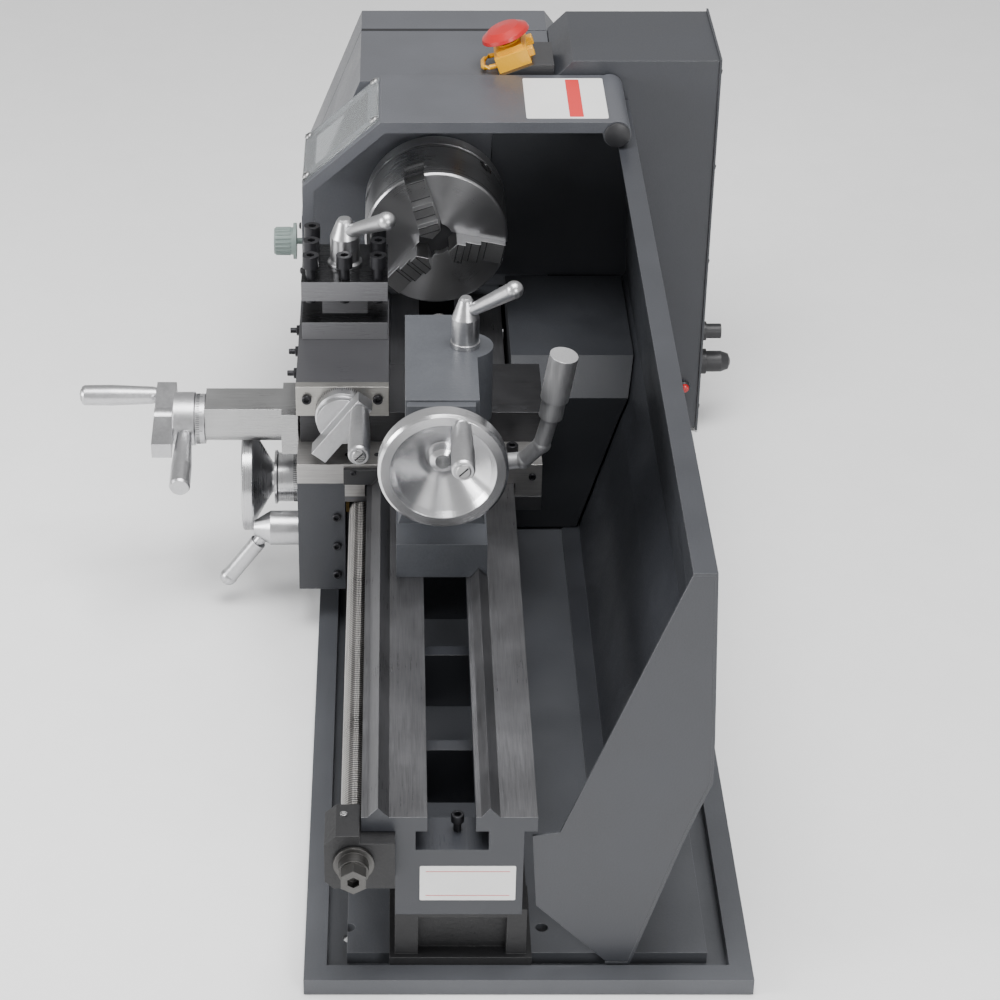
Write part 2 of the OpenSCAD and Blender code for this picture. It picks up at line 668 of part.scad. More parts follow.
module cross_slide() color(iron) at_axis() {
  difference() {
    block([cross_x[0], cross_y[0], saddle_top + slide_gap], [cross_x[1], cross_y[1], cross_top]);
    along_y(cross_y[0] - eps, 300) polygon([[dovetail[0] + dovetail_in - 0.2, saddle_top - eps],
      [dovetail[1] - dovetail_in + 0.2, saddle_top - eps], [dovetail[1] + 0.2, dovetail_top + slide_gap],
      [dovetail[0] - 0.2, dovetail_top + slide_gap]]);
    bar_z(disc_low, 20, disc_r + 0.08, pivot[0], pivot[1]);
  }
  difference() {
    block([cross_axis[0] - 6.5, -60, -93], [cross_axis[0] + 6.5, -30, dovetail_top + slide_gap]);
    bar_y(-70, 50, cross_screw_r + run_gap, cross_axis[0], cross_axis[1]);
  }
}

module cross_crank() color(bright) at_axis() {
  turned_y([[0, -221], [21.5, -221], [22.5, -220], [22.5, -203], [21, -202], [21, -194.2],
    [0, -194.2]], cross_axis[0], cross_axis[1]);
  bar_y(-194.15, 249, cross_screw_r, cross_axis[0], cross_axis[1]);
  translate([cross_axis[0], 0, cross_axis[1]]) rotate([0, cross_crank_tilt, 0]) {
    difference() {
      block([-40, -237, -7], [42, -220.5, 7]);
      bar_z(0, 10, 2, 0, -229);
    }
    bar_y(-237, 16, 9);
    bar_y(-298, 62, grip_pin_r, crank_grip_x, 0);
    turned_x([[0, 18], [5, 18], [6.4, 26], [8.6, 62], [8.6, 86], [7.6, 88], [0, 88]], -211, 0);
  }
}

module cross_grip() color(bright) at_axis()
  translate([cross_axis[0], 0, cross_axis[1]]) rotate([0, cross_crank_tilt, 0])
    translate([crank_grip_x, 0, 0]) rotate([0, 0, -90]) grip_x(237.2, 63, 0, 0);

module compound_base() color(iron) at_axis() {
  difference() {
    union() {
      bar_z(disc_low + slide_gap, cross_top - disc_low - slide_gap, disc_r, pivot[0], pivot[1]);
      along_x(135.5, 44.5) polygon([[pivot[1] - 16, cross_top - eps], [pivot[1] + 16, cross_top - eps],
        [pivot[1] + 20, -44], [pivot[1] - 20, -44]]);
    }
    for (x = [[95, 150], [165, 212]])
      block([x[0], pivot[1] - 6, top_axis_z - 4.5], [x[1], pivot[1] + 6, -40]);
    bar_x(90, 130, top_screw_r + run_gap, pivot[1], top_axis_z);
    block([180, pivot[1] - 50, cross_top - 0.5], [220, pivot[1] + 50, -40]);
  }
}

module top_slide() color(steel) at_axis() {
  low = cross_top + slide_gap;
  difference() {
    union() {
      block([top_x[0], top_y[0], low], [top_x[1], top_y[1], top_z]);
      block([top_x[1], top_y[0], low], [top_x[1] + 8, top_y[1], top_z]);
      bar_z(top_z - eps, 76, post_stud_r, post[0], post[1]);
    }
    along_x(top_x[0] - eps, top_x[1] - top_x[0] + eps) polygon([[pivot[1] - 16.2, low - eps],
      [pivot[1] + 16.2, low - eps], [pivot[1] + 20.2, -43.9], [pivot[1] - 20.2, -43.9]]);
    bar_x(top_x[1] - eps, 20, top_screw_r + run_gap, pivot[1], top_axis_z);
  }
}

module compound_crank() color(bright) at_axis() {
  face = top_x[1] + 8.2;
  bar_x(100, face - 100.05, top_screw_r, pivot[1], top_axis_z);
  turned_x([[0, face], [22, face], [22, face + 11], [20.5, face + 12],
    [20.5, face + 19], [0, face + 19]], pivot[1], top_axis_z);
  translate([0, pivot[1], top_axis_z]) spin_x(top_crank_angle) {
    block([face + 18.8, -31, -7], [face + 35, 31, 7]);
    bar_x(face + 35, 68, grip_pin_r, 24, 0);
  }
}

module compound_grip() color(bright) at_axis()
  translate([0, pivot[1], top_axis_z]) spin_x(top_crank_angle)
    grip_x(top_x[1] + 8.2 + 35.2, 70, 24, 0);

module toolpost_turret() color(iron) at_axis() {
  w = post_w / 2;
  difference() {
    block([post[0] - w, post[1] - w, post_z[0]], [post[0] + w, post[1] + w, post_z[1]]);
    for (a = [0:90:270])
      translate([post[0], post[1], 0]) rotate([0, 0, a])
        block([w - post_slot_depth, -w - eps, post_slot[0]], [w + eps, w + eps, post_slot[1]]);
    bar_z(-40, 80, post_stud_r + run_gap, post[0], post[1]);
    post_screws() translate([0, 0, -5]) cylinder(h = 40, r = 4.5);
  }
}

module post_screws()
  for (i = [-1:1], j = [-1:1])
    if (i != 0 || j != 0)
      translate([post[0] + post_screw * i, post[1] + post_screw * j, 0]) children();

module toolpost_screws() color(black) at_axis() post_screws() difference() {
  union() {
    cylinder(h = 33, r = 4.4);
    translate([0, 0, 32]) cylinder(h = 11, r = 6.8);
  }
  translate([0, 0, 37]) cylinder(h = 10, r = 3.6, $fn = 6);
}

module toolpost_lever() color(bright) at_axis() {
  turned_z([[post_stud_r + run_gap, 21.7], [14.5, 21.7], [14.5, 24], [12.3, 26], [12.3, 47], [6.5, 61], [5, 63],
    [0, 63], [0, 45], [post_stud_r + run_gap, 45]], post[0], post[1]);
  taper_between([post[0] + 4, post[1] + 3.6, 53], [130, -43, 79], 5.2, 7.4);
  translate([130, -43, 79]) sphere(r = 7.8);
}

// ---- Tailstock ----
module tailstock_body() color(paint_light) at_axis() {
  quill_r = quill_d / 2 + run_gap;
  difference() {
    union() {
      block([tail_x[0], -28, -27], [tail_x[1], 28, tail_top]);
      bar_z(-27, 27 + tail_top, 22, lock[0], lock[1]);
      along_x(tail_base_x[0] + 5, 95) polygon([[-34, -76], [34, -76], [26, -52], [26, -25], [-26, -25], [-26, -52]]);
      block([tail_base_x[0], -35, saddle_low], [tail_base_x[1], 35, tail_base_top]);
      block([tail_x[1], -27, -24], [tail_x[1] + 6, 25, tail_top - 2]);
    }
    bar_x(tail_x[0] - eps, 140, quill_r);
    bar_x(tail_x[0], 200, tail_screw_r + run_gap);
    along_x(tail_base_x[0] - eps, 140) bed_vees(0.3);
    bar_z(12, 40, 4 + run_gap, lock[0], lock[1]);
    bar_y(-60, 120, 7 + run_gap, cam[0], cam[1]);
    bar_z(saddle_low - eps, 20, stud_r + 0.3, clamp[0], clamp[1]);
  }
}

module tailstock_clamp() color(iron) at_axis() {
  block([clamp[0] - 25, -20, flange_low - 6], [clamp[0] + 25, 25, flange_low - 1.2]);
  bar_z(flange_low - 2, 28, stud_r, clamp[0], clamp[1]);
}

module quill() color(bright) at_axis() {
  r = quill_d / 2;
  turned_x([[8, 194], [r - 1, 194], [r, 195], [r, 344], [tail_screw_r + run_gap, 344],
    [tail_screw_r + run_gap, 240], [8, 240]]);
  turned_x([[0, 143], [9, 158.6], [9, 186], [7.9, 194], [7.9, 238], [0, 238]]);
}

module tail_wheel() color(bright) at_axis() {
  r = tail_wheel_d / 2;
  bar_x(262, 94.45, tail_screw_r);
  turned_x([[0, 356.5], [15, 356.5], [15, 368], [r - 8, 383],
    [r - 1, 383], [r, 384], [r, 396], [r - 2, 398], [r - 9, 398], [r - 13, 394], [13, 374], [10, 374],
    [10, 380], [6, 382], [0, 382]]);
  bar_x(390, 68, grip_pin_r, tail_grip_at[0], tail_grip_at[1]);
}

module tail_grip() color(bright) at_axis()
  grip_x(398.2, 63, tail_grip_at[0], tail_grip_at[1]);

module quill_lock_lever() color(bright) at_axis() {
  turned_z([[0, 14], [4, 14], [4, tail_top + 0.1], [11.6, tail_top + 0.1], [11.6, 39], [10.8, 39], [10.8, 60],
    [5.5, 75], [4, 77], [0, 77]], lock[0], lock[1]);
  taper_between([lock[0] + 2, lock[1] + 3, 66], [285, 55, 95], 4.8, 6.9);
  translate([285, 55, 95]) sphere(r = 7.2);
}

module cam_lever() color(bright) at_axis() {
  bend = [[cam[0], 46, cam[1]], [278, 66, -60], [284, 80, -42], [288, 86, -14]];
  bar_y(-40, 88, 7, cam[0], cam[1]);
  for (i = [0:2])
    rod_between(bend[i], bend[i + 1], 6.7);
  for (p = bend)
    translate(p) sphere(r = 7.4);
  rod_between([288, 86, -14], [289.5, 88.5, 3], 9.5);
  rod_between([289.5, 88.5, 3], [293.5, 94.5, 43], 11.2);
}

chip_tray();
bed();
bed_feet();
rack();
headstock();
spindle_bearings();
headstock_cover();
gear_cover();
end_plate();
electric_box();
box_fittings();
motor_cover();
splash_guard();
motor_housing();
drive_belt();
leadscrew_brackets();
switch_box();
stop_button();
speed_knob();
chuck_hood();
hood_window();
spindle();
spindle_drives();
chuck_backplate();
chuck_body();
chuck_scroll();
chuck_jaw_1();
chuck_jaw_2();
chuck_jaw_3();
chuck_pinion();
motor_shaft();
idler_gear();
compound_gear();
leadscrew();
saddle();
apron();
keepers();
cross_bracket();
apron_handwheel();
rack_pinion();
half_nut_upper();
half_nut_lower();
half_nut_lever();
cross_slide();
cross_crank();
cross_grip();
compound_base();
top_slide();
compound_crank();
compound_grip();
toolpost_turret();
toolpost_screws();
toolpost_lever();
tailstock_body();
tailstock_clamp();
quill();
tail_wheel();
tail_grip();
quill_lock_lever();
cam_lever();
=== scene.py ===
"""Looks of a bench metal lathe: materials, small fittings, floor, light and camera round its CAD frame.

Lengths inside this script are millimetres from the centre of the chuck's front face, with +X towards the
tailstock, +Y to the back and +Z up. place() turns them into points of the frame.
"""

import itertools
import json
import math

import bpy
from mathutils import Matrix, Vector


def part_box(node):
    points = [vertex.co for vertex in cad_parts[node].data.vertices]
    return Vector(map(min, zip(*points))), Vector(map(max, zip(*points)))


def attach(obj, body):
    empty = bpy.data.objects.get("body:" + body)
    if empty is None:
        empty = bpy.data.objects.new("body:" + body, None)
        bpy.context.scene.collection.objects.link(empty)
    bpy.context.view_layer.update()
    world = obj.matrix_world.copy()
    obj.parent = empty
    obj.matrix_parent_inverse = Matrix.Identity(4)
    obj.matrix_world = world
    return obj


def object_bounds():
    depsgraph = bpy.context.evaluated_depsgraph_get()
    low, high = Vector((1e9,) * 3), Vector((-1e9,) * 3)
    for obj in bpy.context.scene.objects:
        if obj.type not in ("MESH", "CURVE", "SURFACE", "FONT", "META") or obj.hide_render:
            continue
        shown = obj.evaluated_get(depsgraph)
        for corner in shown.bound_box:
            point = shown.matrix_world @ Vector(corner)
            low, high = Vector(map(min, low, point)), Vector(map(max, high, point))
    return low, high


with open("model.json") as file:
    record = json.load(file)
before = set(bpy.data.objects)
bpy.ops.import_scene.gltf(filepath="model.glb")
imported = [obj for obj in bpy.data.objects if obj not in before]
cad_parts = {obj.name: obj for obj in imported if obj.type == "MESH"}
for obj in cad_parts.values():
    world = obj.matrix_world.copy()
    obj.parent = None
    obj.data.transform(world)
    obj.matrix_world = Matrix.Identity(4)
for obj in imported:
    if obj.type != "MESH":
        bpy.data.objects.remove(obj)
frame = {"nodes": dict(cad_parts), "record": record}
cad_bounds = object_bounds()

MM = 0.001
X, Y, Z = Vector((1, 0, 0)), Vector((0, 1, 0)), Vector((0, 0, 1))
chuck_low, chuck_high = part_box("chuck_body")
AXIS = Vector((chuck_high.x, (chuck_low.y + chuck_high.y) / 2, (chuck_low.z + chuck_high.z) / 2))


def place(x, y, z):
    return AXIS + Vector((x, y, z)) * MM


def span(node):
    """Lowest and highest corner of a CAD node, in millimetres from the chuck's face."""
    low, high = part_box(node)
    return (low - AXIS) / MM, (high - AXIS) / MM


# ---------------------------------------------------------------- camera, light and floor

CAMERA_AT = (2094, -36, 1015.4)
CAMERA_PITCH = math.radians(31.5)
SENSOR_W = 36
CAMERA_LENS = 95.4
CAMERA_SHIFT = 0.105


def make_camera():
    data = bpy.data.cameras.new("camera")
    data.sensor_width = SENSOR_W
    data.lens = CAMERA_LENS
    data.shift_x = CAMERA_SHIFT
    data.clip_end = 50
    camera = bpy.data.objects.new("camera", data)
    camera.location = place(*CAMERA_AT)
    look = Vector((-math.cos(CAMERA_PITCH), 0, -math.sin(CAMERA_PITCH)))
    camera.rotation_mode = "QUATERNION"
    camera.rotation_quaternion = look.to_track_quat("-Z", "Y")
    bpy.context.scene.collection.objects.link(camera)
    bpy.context.scene.camera = camera


def area_light(name, at, target, size, power):
    data = bpy.data.lights.new(name, "AREA")
    data.shape = "RECTANGLE"
    data.size, data.size_y = size
    data.energy = power
    light = bpy.data.objects.new(name, data)
    light.location = at
    light.rotation_mode = "QUATERNION"
    light.rotation_quaternion = (Vector(target) - Vector(at)).to_track_quat("-Z", "Y")
    bpy.context.scene.collection.objects.link(light)


def make_light():
    middle = (0.05, 0, 0.15)
    area_light("top_light", (0.3, 0.1, 2.1), middle, (1.5, 1.1), 62)
    area_light("front_light", (0.7, -2.1, 0.9), middle, (1.0, 0.8), 44)
    area_light("end_light", (2.3, 0.9, 1.0), middle, (0.7, 0.7), 26)
    world = bpy.data.worlds.new("studio")
    world.use_nodes = True
    back = world.node_tree.nodes["Background"]
    back.inputs["Color"].default_value = (1, 1, 1, 1)
    back.inputs["Strength"].default_value = 0.55
    bpy.context.scene.world = world


# ---------------------------------------------------------------- materials


class Shade:
    """A node material that is built up step by step."""

    def __init__(self, name):
        self.mat = bpy.data.materials.new(name)
        self.mat.use_nodes = True
        self.tree = self.mat.node_tree
        self.shader = self.tree.nodes["Principled BSDF"]

    def add(self, kind, inputs=None, **settings):
        node = self.tree.nodes.new(kind)
        for key, value in settings.items():
            setattr(node, key, value)
        for key, value in (inputs or {}).items():
            if isinstance(value, bpy.types.NodeSocket):
                self.tree.links.new(value, node.inputs[key])
            else:
                node.inputs[key].default_value = value
        return node

    def maths(self, operation, a, b=0.0):
        return self.add("ShaderNodeMath", {0: a, 1: b}, operation=operation).outputs[0]

    def feed(self, socket, name):
        self.tree.links.new(socket, self.shader.inputs[name])

    def coords(self, marks, centre):
        """Where the surface marks are read: as cast, drawn along an axis, or turned round one."""
        where = self.add("ShaderNodeTexCoord").outputs["Object"]
        if marks == "cast":
            return where
        if marks.startswith("ground"):
            scale = {"x": (0.03, 1, 1), "y": (1, 0.03, 1), "z": (1, 1, 0.03)}[marks[-1]]
            return self.add("ShaderNodeMapping", {"Vector": where, "Scale": scale}).outputs[0]
        shifted = self.add("ShaderNodeVectorMath", {0: where, 1: place(*centre)}, operation="SUBTRACT")
        parts = self.add("ShaderNodeSeparateXYZ", {0: shifted.outputs[0]}).outputs
        along = "xyz".index(marks[-1])
        flat = [parts[i] for i in range(3) if i != along]
        squares = [self.maths("MULTIPLY", p, p) for p in flat]
        radius = self.maths("SQRT", self.maths("ADD", *squares))
        return self.add("ShaderNodeCombineXYZ", {0: parts[along], 1: radius}).outputs[0]


# Sockets of a Mix node that mixes colours: it has further sockets with the same names for other types.
MIX_A, MIX_B, MIX_OUT = 6, 7, 2
EDGE = 0.0007
QUARTER_TURN = 0.25
WHEEL_AXIS = (155, 0, -149.5)
SWITCH_X = -125
SWITCH_AT = Vector((0, 71, 116.3))
SWITCH_TILT = math.atan2(11.5, 30)
SWITCH_UP = Vector((0, math.cos(SWITCH_TILT), math.sin(SWITCH_TILT)))
SWITCH_OUT = Vector((0, -math.sin(SWITCH_TILT), math.cos(SWITCH_TILT)))


def facing_up(above):
    """1 on faces that look up and lie higher than a limit."""
    def shows(s):
        normal = s.add("ShaderNodeNewGeometry").outputs["True Normal"]
        up = s.add("ShaderNodeSeparateXYZ", {0: normal}).outputs[2]
        where = s.add("ShaderNodeTexCoord").outputs["Object"]
        height = s.add("ShaderNodeSeparateXYZ", {0: where}).outputs[2]
        looks_up = s.maths("GREATER_THAN", up, 0.3)
        is_high = s.maths("GREATER_THAN", height, place(0, 0, above).z)
        return s.maths("MULTIPLY", looks_up, is_high)
    return shows


def beyond(at, along):
    """1 on the far side of a plane."""
    def shows(s):
        where = s.add("ShaderNodeTexCoord").outputs["Object"]
        depth = s.add("ShaderNodeVectorMath", {0: where, 1: along}, operation="DOT_PRODUCT").outputs["Value"]
        return s.maths("GREATER_THAN", depth, place(*at).dot(along))
    return shows


def surface(name, colour, rough, metal=0.0, marks="cast", centre=(0, 0, 0), grain=900, bump=0.12, mottle=0.12,
            spread=0.12, wear=0.0, coat=0.0, edge=EDGE, paint=None, bare=None, rings=0.0):
    """A finished surface: mottled colour, roughness that follows its marks, softened and worn edges.

    With paint, the surface has that colour except where bare, a function of the material, is 1.
    With rings, highlights stretch as they do on a face turned round X.
    """
    s = Shade(name)
    where = s.coords(marks, centre)
    fine = s.add("ShaderNodeTexNoise", {"Vector": where, "Scale": grain, "Detail": 3.0}).outputs["Fac"]
    plain = s.add("ShaderNodeTexCoord").outputs["Object"]
    broad = s.add("ShaderNodeTexNoise", {"Vector": plain, "Scale": 18.0, "Detail": 5.0}).outputs["Fac"]
    dark = [c * (1 - mottle) for c in colour] + [1]
    light = [min(1, c * (1 + mottle)) for c in colour] + [1]
    both = s.maths("ADD", s.maths("MULTIPLY", broad, 0.6), s.maths("MULTIPLY", fine, 0.4))
    factor = s.add("ShaderNodeMapRange", {0: both, 1: 0.35, 2: 0.65}).outputs[0]
    tone = s.add("ShaderNodeMix", {"Factor": factor, MIX_A: dark, MIX_B: light}, data_type="RGBA")
    colour_out = tone.outputs[MIX_OUT]
    soft = s.add("ShaderNodeBevel", {"Radius": edge}, samples=4).outputs[0]
    if wear:
        true_normal = s.add("ShaderNodeNewGeometry").outputs["Normal"]
        same = s.add("ShaderNodeVectorMath", {0: soft, 1: true_normal}, operation="DOT_PRODUCT")
        turned_away = s.maths("SUBTRACT", 1.0, same.outputs["Value"])
        worn = s.maths("MULTIPLY", turned_away, wear)
        rubbed = [min(1, c * 1.6 + 0.12) for c in colour] + [1]
        rim = s.add("ShaderNodeMix", {"Factor": worn, MIX_A: colour_out, MIX_B: rubbed}, data_type="RGBA")
        colour_out = rim.outputs[MIX_OUT]
    if paint:
        shows = bare(s)
        over = list(paint) + [1]
        layers = s.add("ShaderNodeMix", {"Factor": shows, MIX_A: over, MIX_B: colour_out}, data_type="RGBA")
        colour_out = layers.outputs[MIX_OUT]
        if metal:
            s.feed(s.maths("MULTIPLY", shows, metal), "Metallic")
    if rings:
        s.shader.inputs["Anisotropic"].default_value = rings
        s.shader.inputs["Anisotropic Rotation"].default_value = QUARTER_TURN
        s.feed(s.add("ShaderNodeTangent", direction_type="RADIAL", axis="X").outputs[0], "Tangent")
    s.feed(colour_out, "Base Color")
    smoothest, roughest = max(0.03, rough - spread), rough + spread
    varied = s.add("ShaderNodeMapRange", {0: both, 1: 0.3, 2: 0.7, 3: smoothest, 4: roughest})
    s.feed(varied.outputs[0], "Roughness")
    raised = s.add("ShaderNodeBump", {"Strength": bump, "Distance": 0.0004, "Height": fine, "Normal": soft})
    s.feed(raised.outputs[0], "Normal")
    s.shader.inputs["Metallic"].default_value = metal
    s.shader.inputs["Coat Weight"].default_value = coat
    s.shader.inputs["Coat Roughness"].default_value = 0.25
    return s.mat


def glass(name, colour):
    s = Shade(name)
    s.shader.inputs["Base Color"].default_value = colour
    s.shader.inputs["Transmission Weight"].default_value = 0.93
    s.shader.inputs["IOR"].default_value = 1.15
    where = s.add("ShaderNodeTexCoord").outputs["Object"]
    haze = s.add("ShaderNodeTexNoise", {"Vector": where, "Scale": 60.0, "Detail": 6.0}).outputs["Fac"]
    s.feed(s.add("ShaderNodeMapRange", {0: haze, 3: 0.03, 4: 0.16}).outputs[0], "Roughness")
    return s.mat


DARK_PAINT = (0.032, 0.034, 0.04)
TRAY_PAINT = (0.062, 0.065, 0.073)
GREY_PAINT = (0.072, 0.075, 0.085)
dark_paint = surface("dark_paint", DARK_PAINT, 0.42, grain=700, bump=0.22, wear=1.2, coat=0.12)
tray_paint = surface("tray_paint", TRAY_PAINT, 0.42, grain=700, bump=0.25, wear=1.0, coat=0.15)
foot_paint = surface("foot_paint", (0.008, 0.008, 0.009), 0.5, grain=420, bump=0.5, wear=0.8)
grey_paint = surface("grey_paint", GREY_PAINT, 0.4, grain=600, bump=0.25, wear=0.9, coat=0.15)
cast_grey = surface("cast_grey", (0.062, 0.066, 0.075), 0.46, grain=420, bump=0.45, wear=1.0, coat=0.1)
bed_iron = surface("bed_iron", (0.15, 0.15, 0.157), 0.36, 0.85, "ground_x", grain=1500, bump=0.16,
                   mottle=0.22, paint=(0.03, 0.032, 0.038), bare=facing_up(-116))
ground_iron = surface("ground_iron", (0.12, 0.12, 0.125), 0.36, 0.85, "ground_x", grain=1500, bump=0.18,
                      mottle=0.2)
dark_iron = surface("dark_iron", (0.07, 0.07, 0.074), 0.38, 0.85, "ground_y", grain=1500, bump=0.15,
                    mottle=0.2)
slide_iron = surface("slide_iron", (0.4, 0.39, 0.37), 0.36, 0.9, "ground_y", grain=1500, bump=0.15,
                     mottle=0.18, paint=(0.045, 0.045, 0.049), bare=beyond((201, 0, 0), X))
saddle_iron = surface("saddle_iron", (0.42, 0.41, 0.4), 0.38, 0.9, "ground_y", grain=1500, bump=0.2,
                      mottle=0.2)
steel = surface("steel", (0.42, 0.42, 0.42), 0.32, 1.0, "ground_y", grain=1300, bump=0.12, mottle=0.15)
chuck_steel = surface("chuck_steel", (0.4, 0.4, 0.41), 0.3, 1.0, "turned_x", grain=2200, bump=0.1,
                      mottle=0.08, spread=0.05, rings=0.8)
jaw_steel = surface("jaw_steel", (0.3, 0.3, 0.305), 0.34, 1.0, "cast", grain=900, bump=0.08, mottle=0.12)
# Near-black for the lines at the jaws' steps: painted shade inside the grooves there.
groove_shade = surface("groove_shade", (0.03, 0.03, 0.032), 0.5, 0.6, "cast", grain=900, bump=0.1, mottle=0.2)
screw_steel = surface("screw_steel", (0.1, 0.098, 0.095), 0.42, 1.0, "turned_x", (0, -64, -133), 1300,
                      bump=0.2, mottle=0.2)
thread_steel = surface("thread_steel", (0.28, 0.27, 0.26), 0.35, 1.0, "cast", grain=900, bump=0.1, mottle=0.2)
bright = surface("bright", (0.52, 0.52, 0.53), 0.34, 1.0, "cast", grain=380, bump=0.08, mottle=0.1,
                 spread=0.08)
satin_lever = surface("satin_lever", (0.6, 0.6, 0.61), 0.45, 0.85, "ground_z", grain=900, bump=0.14)
wheel_bright = surface("wheel_bright", (0.66, 0.66, 0.67), 0.24, 1.0, "turned_x", grain=1800, bump=0.1,
                       mottle=0.06, spread=0.06, rings=0.6)
knob_wheel = surface("apron_wheel_bright", (0.58, 0.58, 0.59), 0.28, 1.0, "turned_y", WHEEL_AXIS, 1500,
                     mottle=0.07)
post_steel = surface("post_steel", (0.04, 0.04, 0.043), 0.3, 0.9, "ground_y", grain=1500, bump=0.12,
                     mottle=0.2, paint=(0.13, 0.13, 0.137), bare=facing_up(-20))
cover_paint = surface("cover_paint", (0.024, 0.026, 0.031), 0.6, grain=700, bump=0.22, wear=1.0)
black_oxide = surface("black_oxide", (0.022, 0.022, 0.025), 0.38, 0.6, "cast", grain=900, bump=0.1,
                      mottle=0.2)
black_plastic = surface("black_plastic", (0.018, 0.018, 0.02), 0.45, grain=1400, bump=0.2)
rubber = surface("rubber", (0.02, 0.02, 0.02), 0.7, grain=1200, bump=0.3)
bronze = surface("bronze", (0.5, 0.34, 0.13), 0.35, 1.0, grain=900, bump=0.15)
red = surface("red_plastic", (0.42, 0.003, 0.004), 0.32, grain=1500, bump=0.05, coat=0.5, mottle=0.05)
YELLOW = (0.74, 0.36, 0.002)
yellow = surface("yellow_plastic", YELLOW, 0.36, grain=1500, bump=0.08, coat=0.3, mottle=0.05)
above_base = beyond(SWITCH_AT + SWITCH_OUT * 0.05, SWITCH_OUT)
switch_yellow = surface("switch_yellow", YELLOW, 0.36, grain=1500, bump=0.08, coat=0.3, mottle=0.05,
                        paint=(0.018, 0.018, 0.02), bare=above_base)
knob_grey = surface("knob_grey", (0.2, 0.25, 0.235), 0.5, grain=1500, bump=0.15, mottle=0.08)
white = surface("white_plate", (0.75, 0.75, 0.74), 0.4, grain=1500, bump=0.05, mottle=0.04, edge=0.0002)
red_band = surface("red_band", (0.6, 0.03, 0.03), 0.4, grain=1500, bump=0.05, mottle=0.05, edge=0.0002)
# A near-black for printed and engraved marks and seams. It is also painted shade inside screw slots, holes,
# chuck grooves and the chuck key's square hole.
ink_and_shade = surface("ink_and_shade", (0.01, 0.01, 0.012), 0.6, grain=1500, bump=0.05, edge=0.0002)
felt = surface("felt", (0.03, 0.03, 0.03), 0.85, grain=1500, bump=0.5)
floor_grey = surface("floor_grey", (0.92, 0.92, 0.92), 0.75, grain=60, bump=0.02, mottle=0.01)
pane = glass("clear_pane", (0.93, 0.96, 0.97, 1))

SLOT_LOOKS = {
    "dark_paint": dark_paint, "grey_paint": grey_paint, "ground_iron": ground_iron, "steel": steel,
    "bright_metal": bright, "black_parts": black_plastic, "black_steel": black_oxide, "belt": rubber,
    "bronze": bronze, "yellow": yellow, "red": red, "knob": knob_grey, "clear": pane,
}
NODE_LOOKS = {
    "chip_tray": tray_paint, "bed_feet": foot_paint, "bed": bed_iron, "tailstock_body": cast_grey,
    "headstock": cast_grey, "motor_cover": cover_paint, "switch_box": switch_yellow,
    "leadscrew_brackets": foot_paint, "cam_lever": satin_lever,
    "chuck_body": chuck_steel, "chuck_backplate": chuck_steel,
    "chuck_jaw_1": jaw_steel, "chuck_jaw_2": jaw_steel, "chuck_jaw_3": jaw_steel, "leadscrew": screw_steel,
    "saddle": saddle_iron, "cross_slide": dark_iron, "top_slide": slide_iron, "compound_base": dark_iron,
    "toolpost_turret": post_steel, "tail_wheel": wheel_bright, "apron_handwheel": knob_wheel,
    "quill": wheel_bright,
}
SMOOTH_ANGLE = math.radians(32)


def dress_cad():
    looks = {s["node"]: SLOT_LOOKS[s["material_slot"]] for s in frame["record"]["subparts"]}
    looks.update(NODE_LOOKS)
    for name, node in frame["nodes"].items():
        node.data.materials.clear()
        node.data.materials.append(looks[name])


# ---------------------------------------------------------------- mesh parts, as (points, faces)


def turned(profile, at, along=Z, steps=32):
    """A solid of revolution: profile holds (radius, distance along) pairs, from one end to the other."""
    side = along.orthogonal().normalized()
    across = along.cross(side)
    points, faces = [], []
    for radius, height in profile:
        for i in range(steps):
            t = 2 * math.pi * i / steps
            points.append(Vector(at) + along * height + (side * math.cos(t) + across * math.sin(t)) * radius)
    for k in range(len(profile) - 1):
        for i in range(steps):
            j = (i + 1) % steps
            faces.append((k * steps + i, k * steps + j, (k + 1) * steps + j, (k + 1) * steps + i))
    faces.append(tuple(reversed(range(steps))))
    faces.append(tuple(range((len(profile) - 1) * steps, len(profile) * steps)))
    return points, faces


def brick(low, high, turn=None):
    """A box between two corners; turn is a matrix that is applied to its corners."""
    points = [Vector(corner) for corner in itertools.product(*zip(low, high))]
    if turn:
        points = [turn @ p for p in points]
    faces = [(0, 1, 3, 2), (4, 6, 7, 5), (0, 4, 5, 1), (2, 3, 7, 6), (0, 2, 6, 4), (1, 5, 7, 3)]
    return points, faces


def plate(outline, at, u, v, thickness):
    """A flat plate: outline holds (u, v) pairs and the plate grows along u x v."""
    n = u.cross(v)
    count = len(outline)
    points = [Vector(at) + u * a + v * b + n * h for h in (0, thickness) for a, b in outline]
    faces = [tuple(reversed(range(count))), tuple(range(count, 2 * count))]
    faces += [(i, (i + 1) % count, count + (i + 1) % count, count + i) for i in range(count)]
    return points, faces


def rounded(width, height, radius, steps=5):
    """A rectangle with rounded corners, centred on its middle."""
    points = []
    for k, (sx, sy) in enumerate(((1, 1), (-1, 1), (-1, -1), (1, -1))):
        middle = (sx * (width / 2 - radius), sy * (height / 2 - radius))
        for i in range(steps + 1):
            t = math.pi / 2 * (k + i / steps)
            points.append((middle[0] + radius * math.cos(t), middle[1] + radius * math.sin(t)))
    return points


